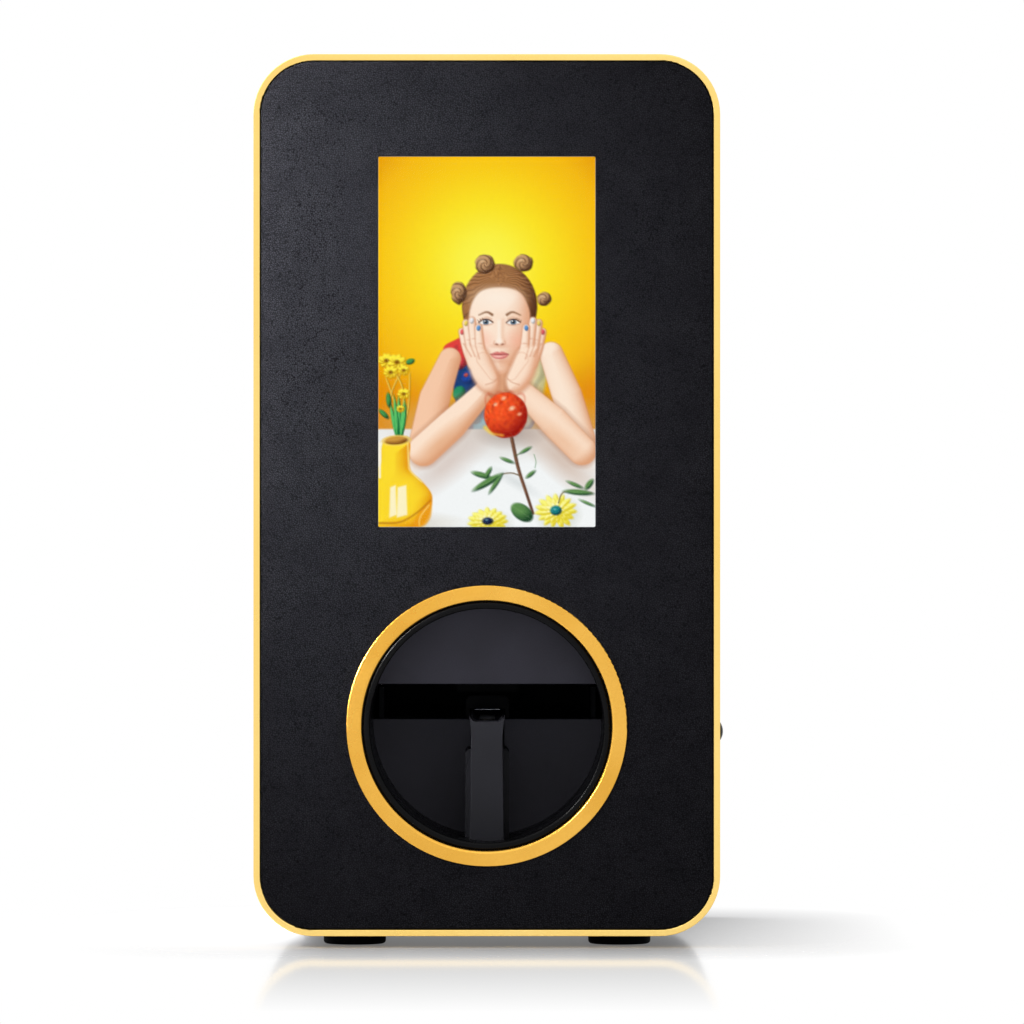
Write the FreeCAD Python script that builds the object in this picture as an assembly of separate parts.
"""Desktop finger-nail art printer: a tall rounded cabinet with a portrait display above a round hand opening.

Row frame: +X to the operator's right when facing the front, +Y towards the rear, +Z up.
The origin is on the table, midway across and midway along the cabinet. Millimetres throughout.
"""
import FreeCAD, Part
import math
import os
from FreeCAD import Vector

os.makedirs("parts", exist_ok=True)

# Cabinet
body_width = 193.5
body_height = 365.7
body_depth = 236.0
corner_radius = 25.0
foot_height = 4.8
foot_diameter = 26.1
foot_spacing = 110.8          # left to right, centre to centre
foot_setback = 33.0           # from the front or rear face to a foot's centre
foot_edge_radius = 1.5

trim_width = 2.7              # bright edge seen from the front
trim_depth = 14.0
fascia_recess = 0.8           # fascia face below the trim's front face
fascia_thickness = 1.6
fascia_gap = 0.3
fascia_edge_radius = 0.4
carrier_thickness = 2.5

casing_wall = 2.8
casing_step = 0.35            # casing sits this far inside the trim's outline
tongue_wall = 2.0
tongue_clearance = 0.15
cover_thickness = 4.0
cover_rim_wall = 2.0
cover_rim_depth = 6.0
cover_rim_clearance = 0.2
cover_edge_radius = 2.2

boss_radius = 4.0
boss_length = 16.0
screw_radius = 1.5            # M3 casing screws
screw_head_radius = 2.8
screw_head_height = 2.0
screw_clearance = 0.2         # radial, in a through hole
thread_clearance = 0.05       # radial, in a boss

# Display
screen_width = 90.0
screen_height = 153.6
screen_gap = 24.25            # from the opening ring's top to the screen's lower edge
window_margin = 0.15
window_corner_radius = 1.0
glass_border = 4.5
glass_thickness = 1.1
lcd_thickness = 4.2
stack_gap = 0.1
bracket_thickness = 1.2
bracket_border = 9.0
board_thickness = 1.6

# Hand opening
ring_height = 92.0            # centre above the table
ring_bore_diameter = 103.6
ring_band = 6.45              # width of the flat bright face
ring_spigot_wall = 3.2
ring_inner_rounding = 1.3     # where the bright face turns into the bore
ring_outer_rounding = 0.4
tunnel_clearance = 0.3
tunnel_wall = 3.0
tunnel_lip_setback = 1.0
tunnel_lip_rounding = 1.2
tunnel_flange_width = 9.2     # beyond the ring's bore
tunnel_flange_thickness = 2.5
visor_depth = 20.0            # from the front face
visor_thickness = 2.5
visor_edge_above_ring = 16.9
visor_ledge_length = 28.0
palm_panel_depth = 78.0
palm_panel_thickness = 2.5
palm_edge_radius = 0.5
palm_top_above_ring = 0.7
collar_length = 24.0          # full-round part of the tunnel

post_length = 16.0
post_top_width = 13.4
post_base_width = 14.7
groove_width = 14.9
groove_depth = 3.0
groove_spread = 1.1           # width of each scooped side over the groove's depth
groove_above_ring = 1.1
stem_width = 18.4
stem_top_below_groove = 12.0
cradle_width = 13.4
cradle_thickness = 3.7
cradle_length = 67.0
cradle_travel = 8.0
cradle_gap = 0.5
pad_thickness = 0.8
guide_pin_radius = 1.6
guide_pin_clearance = 0.08
guide_pin_length = 17.0
spring_radius = 3.2           # coil's centreline
spring_wire = 0.35            # wire radius
spring_turns = 7
spring_pocket_radius = 4.2
spring_pocket_depth = 9.0
slot_clearance = 0.5
stop_width = 18.4
stop_wall = 1.6
stop_bar_above_groove = 3.6
stop_top_above_groove = 9.3
stop_length = 5.0
tray_half_width = 46.0
tray_length = 78.0
tray_wall = 2.0
tray_rim_height = 13.5

# Print mechanism
nozzle_clearance = 1.6        # above the nail stop
gantry_setback = 25.5         # behind the palm panel's rear face
gantry_travel = 14.0
carriage_travel = 16.0
ink_width = 38.0
ink_depth = 48.0
ink_height = 64.0
ink_nose_height = 4.0
ink_clearance = 0.3
carriage_wall = 3.7
carriage_height = 38.0
x_shaft_radius = 3.0
x_bush_wall = 2.0
x_bush_length = 8.0
y_shaft_radius = 4.0
y_bush_wall = 2.0
y_bush_length = 12.0
running_clearance = 0.05
press_clearance = 0.02
y_shaft_above_nozzle = 18.0
x_shaft_above_nozzle = 32.0
screw_above_nozzle = 48.0
frame_inset = 1.75            # side plates inside the flat of the casing floor
block_width = 17.5
block_base_above_nozzle = 8.0
block_top_above_nozzle = 56.0
plate_thickness = 1.5
plate_gap = 1.0
support_length = 8.0
support_gap = 2.0
lead_screw_radius = 3.0
screw_lead = 4.0              # gantry travel for one turn
nut_radius = 6.0
motor_radius = 8.0
motor_length = 20.0
motor_shaft_radius = 1.5
pulley_radius = 5.0
pulley_flange_radius = 6.5
pulley_height = 6.0
pulley_flange = 1.0
pulley_teeth = 16
belt_thickness = 1.0
belt_gap = 0.05
latch_length = 22.0
latch_half_width = 9.5
latch_thickness = 2.4
latch_pin_radius = 1.25

# Rear and right side
door_width = 96.0
door_height = 108.0
door_base_above_nozzle = -6.0
door_gap = 0.5
door_pin_radius = 1.0
door_pin_length = 3.0
door_lip = 3.0
door_lip_thickness = 2.0
door_open = 95.0              # degrees
latch_open = 70.0             # degrees
fan_size = 40.0
fan_depth = 10.0
fan_wall = 0.8                # frame left outside the fan's bore
fan_tip_gap = 0.8
fan_hub_radius = 11.0
fan_pin_radius = 1.5
fan_blades = 7
fan_above_ring = 220.0
port_z = 34.0
inlet_x = -50.0
inlet_radius = 5.5
usb_x = -26.0
magnet_radius = 3.0
vent_height = 2.4
vent_width = 34.0
vent_pitch = 5.0
vent_rows = 4
vent_spacing = 44.0           # between the two intake fields' centres
vent_below_door = 26.0
button_radius = 4.6
button_proud = 2.9            # dome tip beyond the casing side
button_travel = 1.2
button_below_ring = 3.6
button_setback = 48.0
button_clearance = 0.2
bezel_wall = 1.0
bezel_lip = 0.3
switch_radius = 6.5
switch_length = 16.0

# Levels worked out from the sizes above
front_y = -body_depth / 2
rear_y = body_depth / 2
half_width = body_width / 2
body_bottom = foot_height
body_top = foot_height + body_height
body_mid = (body_bottom + body_top) / 2
fascia_y = front_y + fascia_recess
carrier_y = fascia_y + fascia_thickness
carrier_back_y = carrier_y + carrier_thickness
casing_y = front_y + trim_depth
cover_y = rear_y - cover_thickness
casing_half_width = half_width - casing_step
casing_bottom = body_bottom + casing_step
casing_top = body_top - casing_step
inner_bottom = casing_bottom + casing_wall
inner_top = casing_top - casing_wall
boss_x = half_width - corner_radius
ring_outer_diameter = ring_bore_diameter + 2 * ring_band
screen_z = ring_height + ring_outer_diameter / 2 + screen_gap + screen_height / 2
fan_bore_radius = fan_size / 2 - fan_wall
fan_tip_radius = fan_bore_radius - fan_tip_gap
tunnel_flange_radius = ring_bore_diameter / 2 + tunnel_flange_width
tunnel_outer = ring_bore_diameter / 2 - tunnel_clearance
tunnel_bore = tunnel_outer - tunnel_wall
visor_y = front_y + visor_depth
visor_z = ring_height + visor_edge_above_ring
palm_y = front_y + palm_panel_depth
palm_back_y = palm_y + palm_panel_thickness
gantry_rest_y = palm_back_y + gantry_setback
palm_top = ring_height + palm_top_above_ring
groove_z = ring_height + groove_above_ring
post_y = visor_y
post_back_y = post_y + post_length
stem_top = groove_z - stem_top_below_groove
cradle_y = post_back_y + cradle_gap
cradle_end_y = cradle_y + cradle_length
stop_top = groove_z + stop_top_above_groove
nozzle_z = stop_top + nozzle_clearance
base_thickness = 1.5
base_half_length = body_depth / 2 - 26.0
plate_x = boss_x - frame_inset - plate_thickness
block_inner_x = plate_x - plate_gap - block_width
x_bush_radius = x_shaft_radius + x_bush_wall
y_bush_radius = y_shaft_radius + y_bush_wall
shaft_offset = ink_depth / 2 + ink_clearance + 1.2 + x_bush_radius
carriage_half_depth = shaft_offset + x_bush_radius + 1.5
carriage_half_width = ink_width / 2 + ink_clearance + carriage_wall
carriage_z = nozzle_z + ink_nose_height
x_shaft_z = nozzle_z + x_shaft_above_nozzle
y_shaft_z = nozzle_z + y_shaft_above_nozzle
lead_screw_z = nozzle_z + screw_above_nozzle
block_centre_x = block_inner_x + block_width / 2
block_base = nozzle_z + block_base_above_nozzle
block_top = nozzle_z + block_top_above_nozzle
belt_y = gantry_rest_y - carriage_half_depth - pulley_flange_radius + 0.5
block_front_y = belt_y - motor_radius
block_back_y = gantry_rest_y + carriage_half_depth
front_support_y = block_front_y - gantry_travel - support_gap - support_length
rear_support_y = block_back_y + gantry_travel + support_gap
plate_front_y = front_support_y - 1.0
plate_back_y = rear_support_y + support_length + 6.0
door_z = nozzle_z + door_base_above_nozzle
door_mid_z = door_z + door_height / 2
hinge_x = -door_width / 2 + door_gap + cover_thickness / 2
hinge_y = rear_y - cover_thickness / 2
fan_z = ring_height + fan_above_ring
button_z = ring_height - button_below_ring
button_y = front_y + button_setback


# Shape helpers
def box(x0, x1, y0, y1, z0, z1):
    return Part.makeBox(x1 - x0, y1 - y0, z1 - z0, Vector(x0, y0, z0))


def rod(radius, start, end):
    """Solid cylinder from one point to another."""
    a, b = Vector(*start), Vector(*end)
    return Part.makeCylinder(radius, (b - a).Length, a, b - a)


def rod_y(radius, x, z, y0, y1):
    return rod(radius, (x, y0, z), (x, y1, z))


def tube_y(outer, inner, x, z, y0, y1):
    return rod_y(outer, x, z, y0, y1).cut(rod_y(inner, x, z, y0 - 1, y1 + 1))


def rounded_slab(width, height, radius, y0, y1, z_mid, x_mid=0.0):
    """Rounded rectangle standing in the XZ plane, extruded from y0 to y1."""
    hw, hh = width / 2, height / 2
    slab = box(x_mid - hw, x_mid + hw, y0, y1, z_mid - hh, z_mid + hh)
    upright = [e for e in slab.Edges if abs(e.BoundBox.YLength - (y1 - y0)) < 1e-6
               and e.BoundBox.XLength < 1e-6
               and e.BoundBox.ZLength < 1e-6]
    return slab.makeFillet(radius, upright)


def inset_slab(inset, y0, y1):
    """The cabinet's outline taken in by inset all round."""
    return rounded_slab(body_width - 2 * inset, body_height - 2 * inset, corner_radius - inset, y0, y1,
                        body_mid)


def edges_at_y(shape, y, tolerance=1e-4):
    """Edges that lie wholly in the plane at y."""
    return [e for e in shape.Edges if abs(e.BoundBox.YMin - y) < tolerance
            and abs(e.BoundBox.YMax - y) < tolerance]


def joined(*shapes):
    whole = shapes[0]
    for shape in shapes[1:]:
        whole = whole.fuse(shape)
    return whole.removeSplitter()


def screw_y(x, z, head_y, length, direction=1):
    """Pan-head screw along Y: its head starts at head_y and the shank runs on in direction."""
    neck_y = head_y + direction * screw_head_height
    head = rod_y(screw_head_radius, x, z, head_y, neck_y)
    slot = box(x - screw_head_radius * 0.6, x + screw_head_radius * 0.6,
               min(head_y, head_y + direction * 0.8),
               max(head_y, head_y + direction * 0.8), z - 0.35, z + 0.35)
    cross = slot.copy()
    cross.rotate(Vector(x, head_y, z), Vector(0, 1, 0), 90)
    head = head.cut(slot).cut(cross)
    return joined(head, rod_y(screw_radius, x, z, neck_y, neck_y + direction * length))


def save(name, shape):
    """One node, one file. Every solid has to be valid."""
    solids = shape.Solids
    if not solids or not all(s.isValid() and s.Volume > 0 for s in solids):
        raise ValueError(f"{name} is not made of valid solids")
    whole = solids[0] if len(solids) == 1 else Part.makeCompound(solids)
    whole.exportStep(f"parts/{name}.step")


def corner_places(inset):
    """The four places, one at each end of the top and bottom walls, that lie inset inside those walls."""
    return [(side * boss_x, z) for side in (-1, 1) for z in (inner_bottom + inset, inner_top - inset)]


front_boss_inset = 4.0
rear_boss_inset = 3.0


# Cabinet pieces
def make_trim_frame():
    """Bright frame round the front edge, with softened outer and inner corners."""
    frame = inset_slab(0, front_y, casing_y).cut(inset_slab(trim_width, front_y - 1, casing_y + 1))
    front_edges = edges_at_y(frame, front_y)
    save("trim_frame", frame.makeFillet(0.45, front_edges))


def window(y0, y1, margin, radius):
    return rounded_slab(screen_width + 2 * margin, screen_height + 2 * margin, radius, y0, y1, screen_z)


def make_fascia():
    """Grained front panel with the display window and the hand opening."""
    back_y = carrier_y
    panel = inset_slab(trim_width + fascia_gap, fascia_y, back_y)
    panel = panel.cut(window(fascia_y - 1, back_y + 1, window_margin, window_corner_radius))
    spigot_radius = ring_bore_diameter / 2 + ring_spigot_wall + fascia_gap
    panel = panel.cut(rod_y(spigot_radius, 0, ring_height, fascia_y - 1, back_y + 1))
    save("fascia_panel", panel.makeFillet(fascia_edge_radius, edges_at_y(panel, fascia_y)))


def make_carrier():
    """Stiff moulded plate behind the fascia: it holds the display and is screwed to the casing."""
    plate = inset_slab(trim_width + fascia_gap, carrier_y, carrier_back_y)
    plate = plate.cut(window(carrier_y - 1, carrier_back_y + 1, glass_border + stack_gap,
                             window_corner_radius))
    spigot_radius = ring_bore_diameter / 2 + ring_spigot_wall + fascia_gap
    plate = plate.cut(rod_y(spigot_radius, 0, ring_height, carrier_y - 1, carrier_back_y + 1))
    for x, z in corner_places(front_boss_inset):
        plate = plate.cut(rod_y(screw_radius + screw_clearance, x, z, carrier_y - 1, carrier_back_y + 1))
        plate = plate.cut(rod_y(screw_head_radius + screw_clearance, x, z, carrier_y - 1,
                                carrier_y + screw_head_height + stack_gap))
    for x, z in bracket_places():
        boss = rod_y(boss_radius, x, z, carrier_back_y, bracket_y)
        plate = joined(plate, boss).cut(rod_y(screw_radius + thread_clearance, x, z, carrier_y + 1,
                                              bracket_y + 1))
    save("front_carrier", plate)


def make_casing():
    """Wrap-round side shell with a tongue that fits inside the trim, and screw bosses front and rear."""
    shell = inset_slab(casing_step, casing_y, cover_y)
    shell = shell.cut(inset_slab(casing_step + casing_wall, casing_y - 1, cover_y + 1))
    tongue_inset = trim_width + tongue_clearance
    tongue_back_y = casing_y + 6.0
    tongue = inset_slab(tongue_inset, carrier_back_y + stack_gap, tongue_back_y)
    tongue = tongue.cut(inset_slab(tongue_inset + tongue_wall, carrier_back_y - 1, tongue_back_y + 1))
    shell = joined(shell, tongue)
    inside = inset_slab(tongue_inset + 1.0, front_y, rear_y)
    front_end = carrier_back_y + stack_gap
    for x, z in corner_places(front_boss_inset):
        shell = joined(shell, rod_y(boss_radius, x, z, front_end, front_end + boss_length).common(inside))
        shell = shell.cut(rod_y(screw_radius + thread_clearance, x, z, front_end - 1,
                                front_end + boss_length - 2))
    for x, z in corner_places(rear_boss_inset):
        shell = joined(shell, rod_y(boss_radius, x, z, cover_y - boss_length, cover_y).common(inside))
        shell = shell.cut(rod_y(screw_radius + thread_clearance, x, z, cover_y - boss_length + 2,
                                cover_y + 1))
    for x, y in foot_places():
        shell = shell.cut(rod(screw_radius + screw_clearance, (x, y, casing_bottom - 1),
                              (x, y, inner_bottom + 1)))
    shell = shell.cut(rod(button_radius + button_clearance + bezel_wall + press_clearance,
                          (casing_half_width - 10, button_y, button_z), (half_width + 5, button_y, button_z)))
    save("casing", shell)


def foot_places():
    return [(sx * foot_spacing / 2, sy * (body_depth / 2 - foot_setback)) for sx in (-1, 1) for sy in (-1, 1)]


foot_head_radius = 3.0
foot_recess_height = 2.8


def make_feet():
    """Four soft round feet, each held by one screw up into the base plate."""
    names = ["foot_front_left", "foot_rear_left", "foot_front_right", "foot_rear_right"]
    screws = []
    for name, (x, y) in zip(names, foot_places()):
        foot = rod(foot_diameter / 2, (x, y, 0), (x, y, casing_bottom))
        foot = foot.makeFillet(foot_edge_radius, [e for e in foot.Edges if e.BoundBox.ZMax < 1e-6])
        foot = foot.cut(rod(foot_head_radius + screw_clearance, (x, y, -1), (x, y, foot_recess_height)))
        foot = foot.cut(rod(screw_radius + screw_clearance, (x, y, 0), (x, y, casing_bottom + 1)))
        save(name, foot)
        head = rod(foot_head_radius, (x, y, foot_recess_height - screw_head_height),
                   (x, y, foot_recess_height))
        socket = rod(1.2, (x, y, 0), (x, y, foot_recess_height - 0.8))
        shank = rod(screw_radius, (x, y, foot_recess_height), (x, y, inner_bottom + base_thickness + 3))
        screws.append(joined(head.cut(socket), shank))
    save("foot_screws", Part.makeCompound(screws))


def make_mechanism_frame():
    """Folded steel frame: a floor plate that takes the feet's screws, and a windowed plate up each side."""
    top = inner_bottom + base_thickness
    half = plate_x + plate_thickness
    plate = box(-half, half, -base_half_length, base_half_length, inner_bottom, top)
    for x, y in foot_places():
        plate = plate.cut(rod(screw_radius + thread_clearance, (x, y, inner_bottom - 1), (x, y, top + 1)))
    for y in (-42, 0, 42):
        plate = plate.cut(box(-30, 30, y - 13, y + 13, inner_bottom - 1, top + 1))
    for _, side in sides():
        x0, x1 = sorted((side * plate_x, side * (plate_x + plate_thickness)))
        wall = box(x0, x1, plate_front_y, plate_back_y, inner_bottom, block_top + 6)
        wall = wall.cut(box(x0 - 1, x1 + 1, plate_front_y + 18, plate_back_y - 18, top + 18, y_shaft_z - 26))
        plate = joined(plate, wall)
    save("mechanism_frame", plate)


def carrier_screws():
    return [screw_y(x, z, carrier_y + stack_gap / 2, boss_length - 6)
            for x, z in corner_places(front_boss_inset)]


# Display pieces
glass_y = carrier_y + stack_gap / 2
lcd_y = glass_y + glass_thickness + stack_gap / 2
bracket_y = lcd_y + lcd_thickness + stack_gap


def bracket_places():
    x = screen_width / 2 + glass_border + bracket_border - boss_radius
    z = screen_height / 2 - 12.0
    return [(sx * x, screen_z + sz * z) for sx in (-1, 1) for sz in (-1, 1)]


def make_display():
    """Cover glass, display module, the steel bracket behind it and the driver board."""
    glass = window(glass_y, glass_y + glass_thickness, glass_border, window_corner_radius)
    save("display_glass", glass)
    lcd_margin = glass_border - 0.6
    module = window(lcd_y, lcd_y + lcd_thickness, lcd_margin, window_corner_radius)
    module = module.cut(window(lcd_y + lcd_thickness - 0.8, lcd_y + lcd_thickness + 1, -10.0,
                               window_corner_radius))
    save("display_panel", module)

    back = bracket_y + bracket_thickness
    bracket = rounded_slab(screen_width + 2 * (glass_border + bracket_border),
                           screen_height + 2 * glass_border, 3.0, bracket_y, back, screen_z)
    bracket = bracket.cut(rounded_slab(screen_width - 24, 30.0, 3.0, bracket_y - 1, back + 1, screen_z - 50))
    bracket = bracket.cut(rounded_slab(screen_width - 24, 30.0, 3.0, bracket_y - 1, back + 1, screen_z + 50))
    for x, z in bracket_places():
        bracket = bracket.cut(rod_y(screw_radius + screw_clearance, x, z, bracket_y - 1, back + 1))
    for sx in (-1, 1):
        for sz in (-1, 1):
            bracket = joined(bracket, rod_y(2.5, sx * 33, screen_z + sz * 21, back, back + 4.0))
    save("display_bracket", bracket)
    board_y = back + 4.0
    board = box(-38, 38, board_y, board_y + board_thickness, screen_z - 26, screen_z + 26)
    chips = [box(-26, -8, board_y + board_thickness, board_y + board_thickness + 1.4, screen_z - 9,
                 screen_z + 9),
             box(4, 16, board_y + board_thickness, board_y + board_thickness + 1.2, screen_z - 4,
                 screen_z + 12),
             box(-34, 34, board_y + board_thickness, board_y + board_thickness + 2.4, screen_z - 24,
                 screen_z - 19)]
    save("display_board", joined(board, *chips))


def bracket_screws():
    head_y = bracket_y + bracket_thickness + screw_head_height
    return [screw_y(x, z, head_y, bracket_y - carrier_back_y, -1) for x, z in bracket_places()]


# Hand opening pieces
def tunnel_screw_places():
    radius = ring_bore_diameter / 2 + ring_spigot_wall / 2
    angles = [math.radians(a) for a in (45, 135, 225, 315)]
    return [(radius * math.cos(a), ring_height + radius * math.sin(a)) for a in angles]


tunnel_screw_radius = 1.0
tunnel_screw_head_radius = 1.9


def make_opening_ring():
    """Bright ring round the hand opening. Its spigot passes through the fascia and the carrier."""
    bore = ring_bore_diameter / 2
    flange = rod_y(ring_outer_diameter / 2, 0, ring_height, front_y, fascia_y)
    spigot = rod_y(bore + ring_spigot_wall, 0, ring_height, front_y, carrier_back_y)
    ring = joined(flange, spigot).cut(rod_y(bore, 0, ring_height, front_y - 1, carrier_back_y + 1))
    inner = [e for e in edges_at_y(ring, front_y) if e.BoundBox.XLength < ring_bore_diameter + 1]
    ring = ring.makeFillet(ring_inner_rounding, inner)
    outer = [e for e in edges_at_y(ring, front_y) if e.BoundBox.XLength > ring_outer_diameter - 1]
    ring = ring.makeFillet(ring_outer_rounding, outer)
    for x, z in tunnel_screw_places():
        ring = ring.cut(rod_y(tunnel_screw_radius + press_clearance, x, z, carrier_back_y - 3.5,
                              carrier_back_y + 1))
    save("opening_ring", ring)


def make_tunnel():
    """Hand tunnel: a full-round collar at the front and an open-topped trough behind it."""
    lip_y = front_y + tunnel_lip_setback
    wall = tube_y(tunnel_outer, tunnel_bore, 0, ring_height, lip_y, palm_y)
    flange = tube_y(tunnel_flange_radius, tunnel_bore, 0, ring_height, carrier_back_y,
                    carrier_back_y + tunnel_flange_thickness)
    tunnel = joined(wall, flange)
    trough_top = visor_z + visor_thickness - 0.5
    tunnel = tunnel.cut(box(-80, 80, front_y + collar_length, palm_y + 5, trough_top, ring_height + 80))
    tunnel = tunnel.makeFillet(tunnel_lip_rounding, edges_at_y(tunnel, lip_y))
    for x, z in tunnel_screw_places():
        tunnel = tunnel.cut(rod_y(tunnel_screw_radius + 0.15, x, z, carrier_back_y - 1,
                                  carrier_back_y + tunnel_flange_thickness + 1))
    save("hand_tunnel", tunnel)


def tunnel_screws():
    flange_back = carrier_back_y + tunnel_flange_thickness
    screws = []
    for x, z in tunnel_screw_places():
        head = rod_y(tunnel_screw_head_radius, x, z, flange_back, flange_back + 1.4)
        screws.append(joined(head, rod_y(tunnel_screw_radius, x, z, carrier_back_y - 3.0, flange_back)))
    cut_back = tube_y(tunnel_outer + 10, tunnel_outer, 0, ring_height, front_y, flange_back + 5)
    return [screw.common(cut_back) for screw in screws]


def make_front_screws():
    """Every screw driven in behind the fascia: carrier to casing, display bracket, and hand tunnel."""
    save("front_screws", Part.makeCompound(carrier_screws() + bracket_screws() + tunnel_screws()))


def tunnel_disc(y0, y1):
    """The tunnel's clear bore between two depths."""
    return rod_y(tunnel_bore, 0, ring_height, y0, y1)


def make_visor():
    """Upper half-disc that hides the print head, with a ledge running back from its lower edge."""
    back_y = visor_y + visor_thickness
    face = tunnel_disc(visor_y, back_y).cut(box(-80, 80, visor_y - 1, back_y + 1, 0, visor_z))
    ledge_reach = math.sqrt(tunnel_bore ** 2 - (visor_edge_above_ring + visor_thickness) ** 2)
    ledge = box(-ledge_reach, ledge_reach, visor_y, visor_y + visor_ledge_length, visor_z,
                visor_z + visor_thickness)
    visor = joined(face, ledge)
    edge = [e for e in edges_at_y(visor, visor_y) if e.BoundBox.ZLength < 1e-6]
    visor = visor.makeFillet(0.8, edge)
    save("visor_panel", visor)
    light_y = visor_y + visor_ledge_length
    light = box(-30, 30, light_y, light_y + 4.5, visor_z, visor_z + visor_thickness)
    emitters = [box(x - 1.5, x + 1.5, light_y + 0.8, light_y + 3.8, visor_z - 0.6, visor_z)
                for x in range(-24, 25, 8)]
    save("chamber_light", joined(light, *emitters))


def make_palm_panel():
    """Back wall of the hand space, below the finger slot, notched where the finger rest passes."""
    panel = tunnel_disc(palm_y, palm_back_y).cut(box(-80, 80, palm_y - 1, palm_back_y + 1, palm_top, 300))
    notch = cradle_width / 2 + slot_clearance
    panel = panel.cut(box(-notch, notch, palm_y - 1, palm_back_y + 1, stem_top - 0.1, palm_top + 1))
    upper = [e for e in edges_at_y(panel, palm_y) if abs(e.BoundBox.ZMin - palm_top) < 1e-6]
    save("palm_panel", panel.makeFillet(palm_edge_radius, upper))


def make_print_tray():
    """Floor and low walls of the print chamber, slotted for the finger rest."""
    floor_z = palm_top - tray_wall
    end_y = palm_back_y + tray_length
    tray = box(-tray_half_width, tray_half_width, palm_back_y, end_y, floor_z, palm_top + tray_rim_height)
    inner = tray_half_width - tray_wall
    tray = tray.cut(box(-inner, inner, palm_back_y - 1, end_y - tray_wall, palm_top,
                        palm_top + tray_rim_height + 1))
    notch = cradle_width / 2 + slot_clearance
    tray = tray.cut(box(-notch, notch, palm_back_y - 1, cradle_end_y + 0.6, floor_z - 1, palm_top + 1))
    save("print_tray", tray)
    sponge_y = end_y - tray_wall - 14.0
    save("ink_sponge", box(-inner + 4, inner - 4, sponge_y, sponge_y + 12.0, palm_top, palm_top + 4.0))


def make_nail_stop():
    """Arch that the sprung rest presses the finger up against, so the nail sits at one height."""
    y0 = palm_back_y + 1.0
    y1 = y0 + stop_length
    bar_z = groove_z + stop_bar_above_groove
    arch = box(-stop_width / 2, stop_width / 2, y0, y1, palm_top, stop_top)
    upper = [e for e in arch.Edges if e.BoundBox.YLength > stop_length - 0.1
             and e.BoundBox.ZMin > stop_top - 0.1]
    arch = arch.makeFillet(2.8, upper)
    inner = stop_width / 2 - stop_wall
    arch = arch.cut(box(-inner, inner, y0 - 1, y1 + 1, palm_top - 1, bar_z))
    lip = [e for e in edges_at_y(arch, y0) if abs(e.BoundBox.ZMin - bar_z) < 1e-4
           and e.BoundBox.ZLength < 1e-4]
    save("nail_stop", arch.makeFillet(0.5, lip))


def groove_profile(half_top, half_neck, half_base, base_z, y):
    """Closed outline in the XZ plane: a post whose top is scooped between two small horns."""
    horn_z = groove_z + groove_depth
    run = groove_depth * groove_spread
    flat = half_top - run
    radius = (run ** 2 + groove_depth ** 2) / (2 * groove_depth)
    half_sweep = math.asin(run / radius) / 2
    middle_x = flat + radius * math.sin(half_sweep)
    middle_z = groove_z + radius * (1 - math.cos(half_sweep))
    neck_z = groove_z - groove_depth

    def p(x, z):
        return Vector(x, y, z)

    def line(start, end):
        return Part.LineSegment(start, end).toShape()

    def scoop(start_x, end_x, start_z, end_z):
        middle = p(math.copysign(middle_x, start_x), middle_z)
        return Part.Arc(p(start_x, start_z), middle, p(end_x, end_z)).toShape()

    right = [p(half_top, horn_z), p(half_neck, neck_z), p(half_base, base_z)]
    left = [p(-half_base, base_z), p(-half_neck, neck_z), p(-half_top, horn_z)]
    corners = right + left
    edges = [line(a, b) for a, b in zip(corners, corners[1:])]
    edges.append(scoop(-half_top, -flat, horn_z, groove_z))
    edges.append(line(p(-flat, groove_z), p(flat, groove_z)))
    edges.append(scoop(flat, half_top, groove_z, horn_z))
    return Part.Face(Part.Wire(edges))


def guide_places():
    """Centres of the two guide pins under the finger rest."""
    span = palm_y - cradle_y
    return [cradle_y + span * 0.25, cradle_y + span * 0.75]


pocket_floor = stem_top - spring_pocket_depth
guide_floor = groove_z - cradle_thickness - guide_pin_length - cradle_travel - 1.0


def make_post():
    """Grip post at the front of the hand space and the black stem that ties it to the palm panel."""
    base_z = ring_height - tunnel_bore - 5
    face = groove_profile(groove_width / 2, post_top_width / 2, post_base_width / 2, base_z, post_y)
    post = face.extrude(Vector(0, post_length, 0)).common(tunnel_disc(post_y, post_back_y))
    sides = [e for e in edges_at_y(post, post_y) if e.BoundBox.XLength < 1.0 and e.BoundBox.ZLength > 20]
    save("grip_post", post.makeFillet(0.6, sides))

    stem = box(-stem_width / 2, stem_width / 2, post_back_y, palm_y, base_z, stem_top)
    shoulders = [e for e in stem.Edges if e.BoundBox.YLength > 10 and e.BoundBox.ZMin > stem_top - 0.1]
    stem = stem.makeChamfer(1.2, shoulders).common(tunnel_disc(post_back_y, palm_y))
    for y in guide_places():
        stem = stem.cut(rod(spring_pocket_radius, (0, y, pocket_floor), (0, y, stem_top + 1)))
        stem = stem.cut(rod(guide_pin_radius + guide_pin_clearance, (0, y, guide_floor),
                            (0, y, pocket_floor + 1)))
    save("post_stem", stem)


def spring_coil(y, z0, z1):
    """Closed helix of round wire between two heights, round the guide pin at y."""
    pitch = (z1 - z0 - 2 * spring_wire) / spring_turns
    helix = Part.makeHelix(pitch, pitch * spring_turns, spring_radius)
    circle = Part.Wire(Part.makeCircle(spring_wire, Vector(spring_radius, 0, 0), Vector(0, 1, 0)))
    coil = Part.Wire(helix.Edges).makePipeShell([circle], True, True)
    coil.translate(Vector(0, y, z0 + spring_wire))
    return coil


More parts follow.
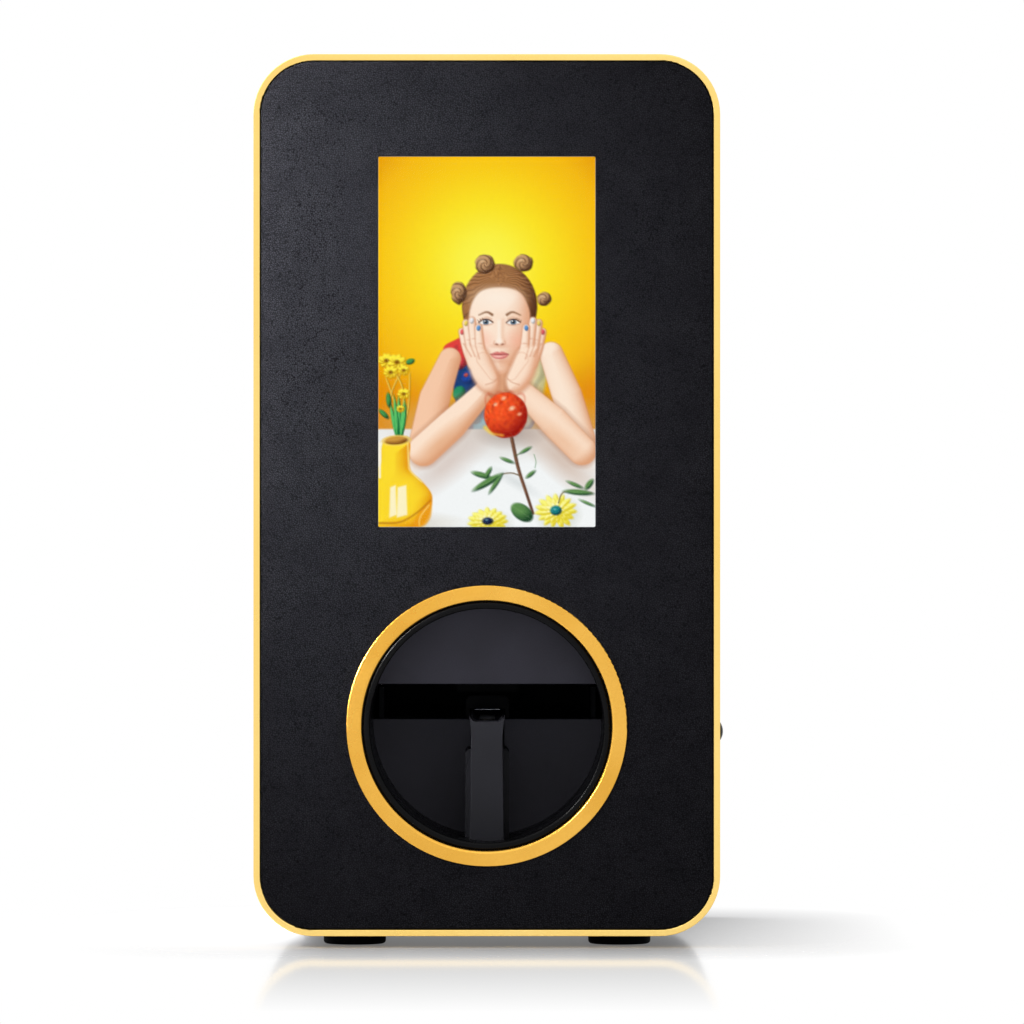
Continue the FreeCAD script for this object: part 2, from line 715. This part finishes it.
def make_finger_rest():
    """Sprung finger rest: cradle with two guide pins, its soft pad, and the springs round the pins."""
    base_z = groove_z - cradle_thickness
    face = groove_profile(cradle_width / 2, cradle_width / 2, cradle_width / 2, base_z, cradle_y)
    cradle = face.extrude(Vector(0, cradle_length, 0))
    for y in guide_places():
        cradle = joined(cradle, rod(guide_pin_radius, (0, y, base_z - guide_pin_length),
                                    (0, y, base_z + 2.0)))
    save("finger_cradle", cradle)
    flat = cradle_width / 2 - groove_depth * groove_spread - 0.2
    pad = box(-flat, flat, cradle_y + 3, cradle_end_y - 3, groove_z, groove_z + pad_thickness)
    corners = [e for e in pad.Edges if e.BoundBox.ZLength > pad_thickness - 0.01]
    save("cradle_pad", pad.makeFillet(flat * 0.6, corners))
    save("cradle_springs", Part.makeCompound([spring_coil(y, pocket_floor, base_z) for y in guide_places()]))


# Print mechanism
def sides():
    return (("left", -1), ("right", 1))


def make_shaft_supports():
    """Blocks on the side plates that hold the ends of the long shafts, and of the lead screw on the right."""
    blocks = []
    for _, side in sides():
        for y in (front_support_y, rear_support_y):
            x0, x1 = sorted((side * (block_inner_x + 3), side * plate_x))
            top = lead_screw_z + 7 if side > 0 else y_shaft_z + 8
            block = box(x0, x1, y, y + support_length, y_shaft_z - 8, top)
            x = side * block_centre_x
            block = block.cut(rod_y(y_shaft_radius + press_clearance, x, y_shaft_z, y - 1,
                                    y + support_length + 1))
            if side > 0:
                block = block.cut(rod_y(lead_screw_radius + running_clearance, x, lead_screw_z, y - 1,
                                        y + support_length + 1))
            blocks.append(block)
    save("shaft_supports", Part.makeCompound(blocks))


def make_guide_shafts():
    end_y = rear_support_y + support_length
    long_rails = [rod_y(y_shaft_radius, side * block_centre_x, y_shaft_z, front_support_y, end_y)
                  for _, side in sides()]
    save("gantry_rails", Part.makeCompound(long_rails))
    reach = block_centre_x + 3
    ends = [gantry_rest_y + side * shaft_offset for side in (-1, 1)]
    cross_rails = [rod(x_shaft_radius, (-reach, y, x_shaft_z), (reach, y, x_shaft_z)) for y in ends]
    save("carriage_rails", Part.makeCompound(cross_rails))


def y_bush_places():
    return [belt_y + motor_radius + 0.5, block_back_y - y_bush_length]


def make_gantry_blocks():
    """End blocks that run along the long shafts. Their front arms carry the belt's motor and idler."""
    reach = block_centre_x + 3
    for name, side in sides():
        x0, x1 = sorted((side * block_inner_x, side * (block_inner_x + block_width)))
        x = side * block_centre_x
        arm_base = lead_screw_z - 2
        block = box(x0, x1, y_bush_places()[0], block_back_y, block_base, block_top)
        block = joined(block, box(x0, x1, block_front_y, block_back_y, arm_base, block_top))
        block = block.cut(rod_y(y_bush_radius + press_clearance, x, y_shaft_z, block_front_y - 1,
                                block_back_y + 1))
        for y in (gantry_rest_y - shaft_offset, gantry_rest_y + shaft_offset):
            block = block.cut(rod(x_shaft_radius + press_clearance, (-reach, y, x_shaft_z),
                                  (reach, y, x_shaft_z)))
        if side > 0:
            block = block.cut(rod_y(nut_radius + press_clearance, x, lead_screw_z, block_front_y - 1,
                                    block_back_y + 1))
            idler_pin = rod(motor_shaft_radius, (x, belt_y, block_top - 1),
                            (x, belt_y, pulley_z + pulley_height + 0.5))
            block = joined(block, idler_pin)
        else:
            block = block.cut(rod(motor_shaft_radius + 0.3, (x, belt_y, arm_base - 1),
                                  (x, belt_y, block_top + 1)))
        save(f"gantry_block_{name}", block)
    bushes = [tube_y(y_bush_radius, y_shaft_radius + running_clearance, side * block_centre_x, y_shaft_z, y,
                     y + y_bush_length) for _, side in sides() for y in y_bush_places()]
    nut = tube_y(nut_radius, lead_screw_radius + running_clearance, block_centre_x, lead_screw_z,
                 gantry_rest_y - 8, gantry_rest_y + 8)
    save("gantry_bushes", Part.makeCompound(bushes + [nut]))


def make_lead_screw():
    """Screw that drives the gantry, and its motor on the rear right support."""
    end_y = rear_support_y + support_length
    x = block_centre_x
    shaft = rod_y(lead_screw_radius, x, lead_screw_z, front_support_y + 1, end_y + 2)
    collar_y = rear_support_y - support_gap / 2
    collar = rod_y(lead_screw_radius + 1.5, x, lead_screw_z, collar_y - 0.8, collar_y + 0.8)
    save("lead_screw", joined(shaft, collar))
    body = rod_y(motor_radius, x, lead_screw_z, end_y, end_y + motor_length)
    body = body.cut(rod_y(lead_screw_radius + 0.5, x, lead_screw_z, end_y - 1, end_y + 3))
    terminal = box(x - 5, x + 5, end_y + 4, end_y + 14, lead_screw_z + motor_radius - 1,
                   lead_screw_z + motor_radius + 3)
    save("y_motor", joined(body, terminal))


pulley_z = block_top + 1.0


def pulley(x, bore):
    """Toothed pulley with two flanges, standing over the gantry's front arm."""
    top = pulley_z + pulley_height
    core = rod(pulley_radius, (x, belt_y, pulley_z), (x, belt_y, top))
    for tooth in range(pulley_teeth):
        angle = 2 * math.pi * tooth / pulley_teeth
        gx, gy = x + pulley_radius * math.cos(angle), belt_y + pulley_radius * math.sin(angle)
        core = core.cut(rod(0.45, (gx, gy, pulley_z - 1), (gx, gy, top + 1)))
    for z in (pulley_z, top - pulley_flange):
        core = core.fuse(rod(pulley_flange_radius, (x, belt_y, z), (x, belt_y, z + pulley_flange)))
    return core.cut(rod(bore, (x, belt_y, pulley_z - 1), (x, belt_y, top + 1)))


def make_belt_drive():
    """Motor, drive pulley, idler and the closed belt that pulls the carriage."""
    x = block_centre_x
    arm_base = lead_screw_z - 2
    motor = rod(motor_radius, (-x, belt_y, arm_base - motor_length), (-x, belt_y, arm_base))
    motor = motor.cut(rod(motor_shaft_radius + running_clearance, (-x, belt_y, arm_base - 4),
                          (-x, belt_y, arm_base + 1)))
    save("x_motor", motor)
    top = pulley_z + pulley_height
    shaft = rod(motor_shaft_radius, (-x, belt_y, arm_base - 3.5), (-x, belt_y, top + 0.5))
    save("drive_pulley", pulley(-x, motor_shaft_radius - 0.3).fuse(shaft).removeSplitter())
    save("idler_pulley", pulley(x, motor_shaft_radius + running_clearance))
    inner = pulley_radius + belt_gap
    outer = inner + belt_thickness
    z0, z1 = pulley_z + pulley_flange + 0.1, top - pulley_flange - 0.1

    def loop(radius):
        ends = [rod(radius, (sx * x, belt_y, z0), (sx * x, belt_y, z1)) for sx in (-1, 1)]
        return joined(box(-x, x, belt_y - radius, belt_y + radius, z0, z1), *ends)

    save("drive_belt", loop(outer).cut(loop(inner)))


def make_carriage():
    """Ink carriage: pocket for the cartridge, bushes on both cross shafts, and a tower for the latch."""
    gy = gantry_rest_y
    top = carriage_z + carriage_height
    body = box(-carriage_half_width, carriage_half_width, gy - carriage_half_depth, gy + carriage_half_depth,
               carriage_z, top)
    pocket_x, pocket_y = ink_width / 2 + ink_clearance, ink_depth / 2 + ink_clearance
    body = body.cut(box(-pocket_x, pocket_x, gy - pocket_y, gy + pocket_y, carriage_z + 2, top + 1))
    nose_x, nose_y = ink_nose_half()
    body = body.cut(box(-nose_x - 0.5, nose_x + 0.5, gy - nose_y - 0.5, gy + nose_y + 0.5, carriage_z - 1,
                        top))
    tower_y0, tower_y1 = gy + pocket_y + 0.2, gy + pocket_y + 5.2
    tower = box(-14, 14, tower_y0, tower_y1, top - 4, latch_pin_z() + 3)
    tower = tower.cut(box(-latch_half_width - 0.3, latch_half_width + 0.3, tower_y0 - 1, tower_y1 + 1,
                          latch_pin_z() - 4.0, latch_pin_z() + 4))
    pin = rod(latch_pin_radius, (-13, latch_pin_y(), latch_pin_z()), (13, latch_pin_y(), latch_pin_z()))
    body = joined(body, tower, pin, belt_clamp())
    for side in (-1, 1):
        y = gy + side * shaft_offset
        body = body.cut(rod(x_bush_radius + press_clearance, (-30, y, x_shaft_z), (30, y, x_shaft_z)))
    save("carriage", body)
    bushes = []
    for side in (-1, 1):
        y = gy + side * shaft_offset
        for x0 in (-carriage_half_width, carriage_half_width - x_bush_length):
            tube = rod(x_bush_radius, (x0, y, x_shaft_z), (x0 + x_bush_length, y, x_shaft_z))
            bushes.append(tube.cut(rod(x_shaft_radius + running_clearance, (x0 - 1, y, x_shaft_z),
                                       (x0 + x_bush_length + 1, y, x_shaft_z))))
    save("carriage_bushes", Part.makeCompound(bushes))


def ink_nose_half():
    return ink_width / 2 - 6.0, ink_depth / 2 - 10.0


def latch_pin_y():
    return gantry_rest_y + ink_depth / 2 + ink_clearance + 2.7


def latch_pin_z():
    return nozzle_z + ink_height + 2.0


def make_ink():
    """Ink cartridge with its nozzle nose, and the hinged latch that holds it down."""
    gy = gantry_rest_y
    base, top = carriage_z + 2 + 0.05, nozzle_z + ink_height
    body = box(-ink_width / 2, ink_width / 2, gy - ink_depth / 2, gy + ink_depth / 2, base, top)
    upright = [e for e in body.Edges if e.BoundBox.ZLength > 10]
    body = body.makeFillet(2.0, upright)
    nose_x, nose_y = ink_nose_half()
    save("ink_cartridge", joined(body, box(-nose_x, nose_x, gy - nose_y, gy + nose_y, nozzle_z, base)))

    y, z = latch_pin_y(), latch_pin_z()
    hub = rod(latch_pin_radius + 1.1, (-latch_half_width, y, z), (latch_half_width, y, z))
    lever_base = top + 0.2
    lever = box(-latch_half_width, latch_half_width, y - latch_length, y, lever_base,
                lever_base + latch_thickness)
    thumb = box(-5, 5, y - latch_length, y - latch_length + 3, lever_base, lever_base + latch_thickness + 3)
    hub = hub.common(box(-30, 30, y - 10, y + 10, lever_base - 0.6, z + 10))
    behind = box(-30, 30, gy + ink_depth / 2, y + 20, 0, 400)
    low_hub = hub.common(behind)
    high_hub = hub.common(box(-30, 30, y - 20, y + 20, lever_base, 400))
    latch = joined(low_hub, high_hub, lever, thumb)
    latch = latch.cut(rod(latch_pin_radius + running_clearance, (-20, y, z), (20, y, z)))
    save("cartridge_latch", latch)


def belt_clamp():
    """Jaws on the carriage that grip the belt's rear run."""
    run_y0 = belt_y + pulley_radius + belt_gap
    run_y1 = run_y0 + belt_thickness
    jaw = 2.2
    top = pulley_z + pulley_height + 1.5
    z0 = carriage_z + carriage_height
    rear = box(-6, 6, run_y1 + 0.1, run_y1 + 0.1 + jaw, z0 - 4, top)
    front = box(-6, 6, run_y0 - 0.1 - jaw, run_y0 - 0.1, pulley_z, top)
    bridge = box(-6, 6, run_y0 - 0.1 - jaw, run_y1 + 0.1 + jaw, top - 1.4, top)
    clamp = joined(rear, front, bridge)
    gy_front = gantry_rest_y - carriage_half_depth
    root = box(-6, 6, min(gy_front, run_y1 + 0.1), run_y1 + 0.1 + jaw, z0, z0 + 4)
    return joined(clamp.cut(box(-7, 7, gy_front, gy_front + 20, 0, z0)), root)


def make_camera():
    """Small camera on the front of the carriage, looking down at the nail."""
    y1 = gantry_rest_y - carriage_half_depth
    body = box(8, 18, y1 - 7, y1, carriage_z + 8, carriage_z + 22)
    lens = rod(3.0, (13, y1 - 3.5, carriage_z + 6.6), (13, y1 - 3.5, carriage_z + 8))
    save("nail_camera", joined(body, lens))


# Rear cover, door, fan and electronics
def vent_slots(y0, y1):
    """Rows of ventilation slots: a fan field near the top and an intake field near the bottom."""
    slots = []
    end_radius = vent_height / 2 - 0.05
    for row in range(-3, 4):
        half = math.sqrt(max(fan_tip_radius ** 2 - (row * vent_pitch) ** 2, 25.0))
        slots.append(rounded_slab(2 * half, vent_height, end_radius, y0, y1, fan_z + row * vent_pitch))
    for row in range(vent_rows):
        z = door_z - vent_below_door - row * vent_pitch
        for side in (-1, 1):
            x = side * vent_spacing / 2
            slots.append(rounded_slab(vent_width, vent_height, end_radius, y0, y1, z, x))
    return slots


def make_rear_cover():
    """Rear cover with the service opening, its door stop lip, vents and connector holes."""
    outer = inset_slab(casing_step, cover_y, rear_y)
    cover = outer.makeFillet(cover_edge_radius, edges_at_y(outer, rear_y))
    rim_inset = casing_step + casing_wall + cover_rim_clearance
    rim = inset_slab(rim_inset, cover_y - cover_rim_depth, cover_y)
    rim = rim.cut(inset_slab(rim_inset + cover_rim_wall, cover_y - cover_rim_depth - 1, cover_y + 1))
    for x, z in corner_places(rear_boss_inset):
        rim = rim.cut(rod_y(boss_radius + 0.3, x, z, cover_y - cover_rim_depth - 1, cover_y))
    cover = joined(cover, rim)
    half = door_width / 2
    lip_y = cover_y - door_lip_thickness
    lip = box(-half + 8, half + 4, lip_y, cover_y, door_z - 4, door_z + door_height + 4)
    cover = joined(cover, lip)
    cover = cover.cut(box(-half, half, cover_y, rear_y + 1, door_z, door_z + door_height))
    cover = cover.cut(box(-half, half - door_lip, lip_y - 1, cover_y + 1, door_z + door_lip,
                          door_z + door_height - door_lip))
    cover = cover.cut(box(-half, -half + 12, lip_y - 1, cover_y + 1, door_z, door_z + door_height))
    scoop = rod_y(9.0, half, door_mid_z, cover_y + 1.2, rear_y + 1)
    cover = cover.cut(scoop)
    pin_hole = door_pin_radius + 0.08
    cover = cover.cut(rod(pin_hole, (hinge_x, hinge_y, door_z - door_pin_length - 0.3),
                          (hinge_x, hinge_y, door_z + door_height + door_pin_length + 0.3)))
    for x, z in corner_places(rear_boss_inset):
        cover = cover.cut(rod_y(screw_radius + screw_clearance, x, z, cover_y - 1, rear_y + 1))
        cover = cover.cut(rod_y(screw_head_radius + screw_clearance, x, z, rear_y - screw_head_height - 0.3,
                                rear_y + 1))
    for slot in vent_slots(cover_y - 1, rear_y + 1):
        cover = cover.cut(slot)
    for z in magnet_heights():
        cover = cover.cut(rod_y(magnet_radius + press_clearance, half - door_lip, z, lip_y - 1, cover_y + 1)
                          .common(box(half - door_lip - 9, half + 20, lip_y - 1, cover_y + 1, z - 9, z + 9)))
    cover = cover.cut(rod_y(inlet_radius + 0.2, inlet_x, port_z, cover_y - 1, rear_y + 1))
    cover = cover.cut(box(usb_x - 6.3, usb_x + 6.3, cover_y - 1, rear_y + 1, port_z - 5.7, port_z + 5.7))
    save("rear_cover", cover)
    save("cover_screws", Part.makeCompound([screw_y(x, z, rear_y - 0.3, boss_length - 8, -1)
                                            for x, z in corner_places(rear_boss_inset)]))


def magnet_heights():
    return (door_z + 16.0, door_z + door_height - 16.0)


def make_service_door():
    """Door over the ink bay. Its left edge is rounded about the hinge pins, and two magnets hold it shut."""
    half = door_width / 2 - door_gap
    z0, z1 = door_z + door_gap, door_z + door_height - door_gap
    slab = box(hinge_x, half, cover_y + 0.02, rear_y, z0, z1)
    edge = rod(cover_thickness / 2 - 0.02, (hinge_x, hinge_y, z0), (hinge_x, hinge_y, z1))
    door = joined(slab, edge)
    rear_edges = [e for e in edges_at_y(door, rear_y) if e.BoundBox.XMax > hinge_x + 1]
    free = [e for e in rear_edges if e.BoundBox.XMin > half - 0.01]
    door = door.makeFillet(0.8, free)
    pins = [rod(door_pin_radius, (hinge_x, hinge_y, z0 - door_pin_length), (hinge_x, hinge_y, z0 + 0.2)),
            rod(door_pin_radius, (hinge_x, hinge_y, z1 - 0.2), (hinge_x, hinge_y, z1 + door_pin_length))]
    for x in (-24.0, 0.0, 24.0):
        door = door.cut(box(x - 10, x + 10, cover_y - 1, cover_y + 1.4, z0 + 12, z1 - 12))
    save("service_door", joined(door, *pins))
    lip_x = door_width / 2 - door_lip
    lip_y = cover_y - door_lip_thickness
    magnets, strikes = [], []
    for z in magnet_heights():
        magnets.append(rod_y(magnet_radius, lip_x, z, lip_y, cover_y - 0.15)
                       .common(box(lip_x - 9, lip_x + 20, lip_y, cover_y, z - 9, z + 9)))
        strikes.append(rod_y(magnet_radius - 0.3, lip_x, z, cover_y - 0.1, cover_y + 0.02))
    save("door_magnets", Part.makeCompound(magnets))
    save("door_strike_plates", Part.makeCompound(strikes))


def make_fan():
    """Cooling fan behind the upper vents: square frame with a three-arm spider, and a bladed rotor."""
    y1 = cover_y
    y0 = y1 - fan_depth
    frame = rounded_slab(fan_size, fan_size, 2.5, y0, y1, fan_z)
    frame = frame.cut(rod_y(fan_bore_radius, 0, fan_z, y0 - 1, y1 + 1))
    spider = rod_y(fan_hub_radius - 1, 0, fan_z, y0, y0 + 2.0)
    spider = spider.fuse(rod_y(fan_pin_radius, 0, fan_z, y0, y1 - 2.0))
    for arm in range(3):
        strut = box(0, fan_bore_radius + 0.5, y0, y0 + 2.0, fan_z - 1.2, fan_z + 1.2)
        strut.rotate(Vector(0, 0, fan_z), Vector(0, 1, 0), 90 + 120 * arm)
        spider = joined(spider, strut)
    frame = joined(frame, spider)
    for sx in (-1, 1):
        for sz in (-1, 1):
            frame = frame.cut(rod_y(1.7, sx * (fan_size / 2 - 4), fan_z + sz * (fan_size / 2 - 4), y0 - 1,
                                    y1 + 1))
    save("fan_frame", frame)
    rotor_y0, rotor_y1 = y0 + 2.5, y1 - 0.6
    rotor = rod_y(fan_hub_radius, 0, fan_z, rotor_y0, rotor_y1)
    for blade in range(fan_blades):
        mid_y = (rotor_y0 + rotor_y1) / 2
        vane = box(fan_hub_radius - 1, fan_tip_radius - 0.3, mid_y - 3.6, mid_y + 3.6, fan_z - 0.5,
                   fan_z + 0.5)
        vane.rotate(Vector(0, mid_y, fan_z), Vector(1, 0, 0), 40)
        vane.rotate(Vector(0, mid_y, fan_z), Vector(0, 1, 0), 360.0 * blade / fan_blades)
        rotor = rotor.fuse(vane)
    rotor = rotor.common(rod_y(fan_tip_radius, 0, fan_z, rotor_y0, rotor_y1))
    rotor = rotor.cut(rod_y(fan_pin_radius + running_clearance, 0, fan_z, rotor_y0 - 1, y1 - 1.9))
    save("fan_rotor", rotor.removeSplitter())


def make_main_board():
    """Board bracket across the casing and the main board on its standoffs."""
    reach = casing_half_width - casing_wall
    y0 = cover_y - 44.0
    z0, z1 = door_z + door_height + 12.0, fan_z + 30.0
    plate = box(-reach, reach, y0, y0 + plate_thickness, z0, z1)
    for side in (-1, 1):
        fx0, fx1 = sorted((side * reach, side * (reach - plate_thickness)))
        plate = joined(plate, box(fx0, fx1, y0 - 12, y0 + plate_thickness, z0, z1))
    plate = plate.cut(box(-30, 30, y0 - 1, y0 + plate_thickness + 1, z0 + 20, z1 - 20))
    board_y = y0 + plate_thickness + 6.0
    mid = (z0 + z1) / 2
    half_h = (z1 - z0) / 2 - 8
    for sx in (-1, 1):
        for sz in (-1, 1):
            plate = joined(plate, rod_y(3.0, sx * 56, mid + sz * (half_h - 6), y0 + plate_thickness, board_y))
    save("board_bracket", plate)
    board = box(-62, 62, board_y, board_y + board_thickness, mid - half_h, mid + half_h)
    face = board_y + board_thickness
    parts = [box(-14, 14, face, face + 1.8, mid - 14, mid + 14),
             box(24, 38, face, face + 1.4, mid - 8, mid + 8),
             box(-52, -24, face, face + 7.0, mid - half_h + 4, mid - half_h + 12),
             box(-10, 30, face, face + 6.0, mid - half_h + 4, mid - half_h + 10)]
    parts += [rod_y(3.2, -52 + 9 * i, mid + half_h - 8, face, face + 9.0) for i in range(4)]
    fins = [box(-12 + 4 * i, -10.8 + 4 * i, face + 1.8, face + 8, mid - 12, mid + 12) for i in range(7)]
    parts.append(joined(box(-13, 14.5, face + 1.8, face + 3.2, mid - 13, mid + 13), *fins))
    save("main_board", joined(board, *parts))


def make_ports():
    """Power inlet, USB port and the small board that carries them inside the rear cover."""
    inner = cover_y - 14.0
    shell = rod_y(inlet_radius, inlet_x, port_z, inner, rear_y - 0.6)
    shell = shell.cut(rod_y(2.85, inlet_x, port_z, inner + 4, rear_y))
    pin = rod_y(1.0, inlet_x, port_z, inner + 3, rear_y - 3)
    save("power_inlet", joined(shell, pin))
    usb = box(usb_x - 6, usb_x + 6, inner, rear_y - 0.6, port_z - 5.4, port_z + 5.4)
    usb = usb.cut(box(usb_x - 4.3, usb_x + 4.3, inner + 5, rear_y, port_z - 3.9, port_z + 3.9))
    tongue = box(usb_x - 2.8, usb_x + 2.8, inner + 4, rear_y - 2.5, port_z - 1.6, port_z + 1.6)
    save("usb_port", joined(usb, tongue))
    board = box(inlet_x - 12, usb_x + 12, inner - board_thickness, inner, inner_bottom, port_z + 12)
    save("port_board", board)


# Power button on the right side
def rod_x(radius, x0, x1):
    return rod(radius, (x0, button_y, button_z), (x1, button_y, button_z))


def make_power_button():
    """Domed push button, its bezel in the casing wall, and the switch behind it."""
    side = casing_half_width
    inner_side = side - casing_wall
    dome_height = button_proud - 1.1
    sphere_radius = (button_radius ** 2 + dome_height ** 2) / (2 * dome_height)
    tip = side + button_proud
    base = inner_side - 2.0
    centre = Vector(tip - sphere_radius, button_y, button_z)
    stalk = rod_x(button_radius, base, tip + 1)
    rounded_end = Part.makeSphere(sphere_radius, centre)
    button = stalk.common(rounded_end.fuse(rod_x(button_radius + 1, base - 1, tip - dome_height)))
    save("power_button", button.removeSplitter())
    bore = button_radius + button_clearance
    bezel = rod_x(bore + bezel_wall, inner_side, side + bezel_lip).fuse(
        rod_x(bore + bezel_wall + 0.9, side, side + bezel_lip))
    save("button_bezel", bezel.removeSplitter().cut(rod_x(bore, inner_side - 1, side + 1)))
    switch = rod_x(switch_radius, inner_side - switch_length, inner_side)
    switch = switch.cut(rod_x(bore, base - button_travel - 0.3, inner_side + 1))
    for z in (-2.5, 2.5):
        lug_x = inner_side - switch_length
        switch = joined(switch, box(lug_x - 5, lug_x, button_y - 0.4, button_y + 0.4, button_z + z - 1,
                                    button_z + z + 1))
    save("power_switch", switch)


# Build every node
make_trim_frame()
make_fascia()
make_carrier()
make_casing()
make_feet()
make_mechanism_frame()
make_display()
make_opening_ring()
make_tunnel()
make_front_screws()
make_visor()
make_palm_panel()
make_print_tray()
make_nail_stop()
make_post()
make_finger_rest()
make_shaft_supports()
make_guide_shafts()
make_gantry_blocks()
make_lead_screw()
make_belt_drive()
make_carriage()
make_ink()
make_camera()
make_rear_cover()
make_service_door()
make_fan()
make_main_board()
make_ports()
make_power_button()
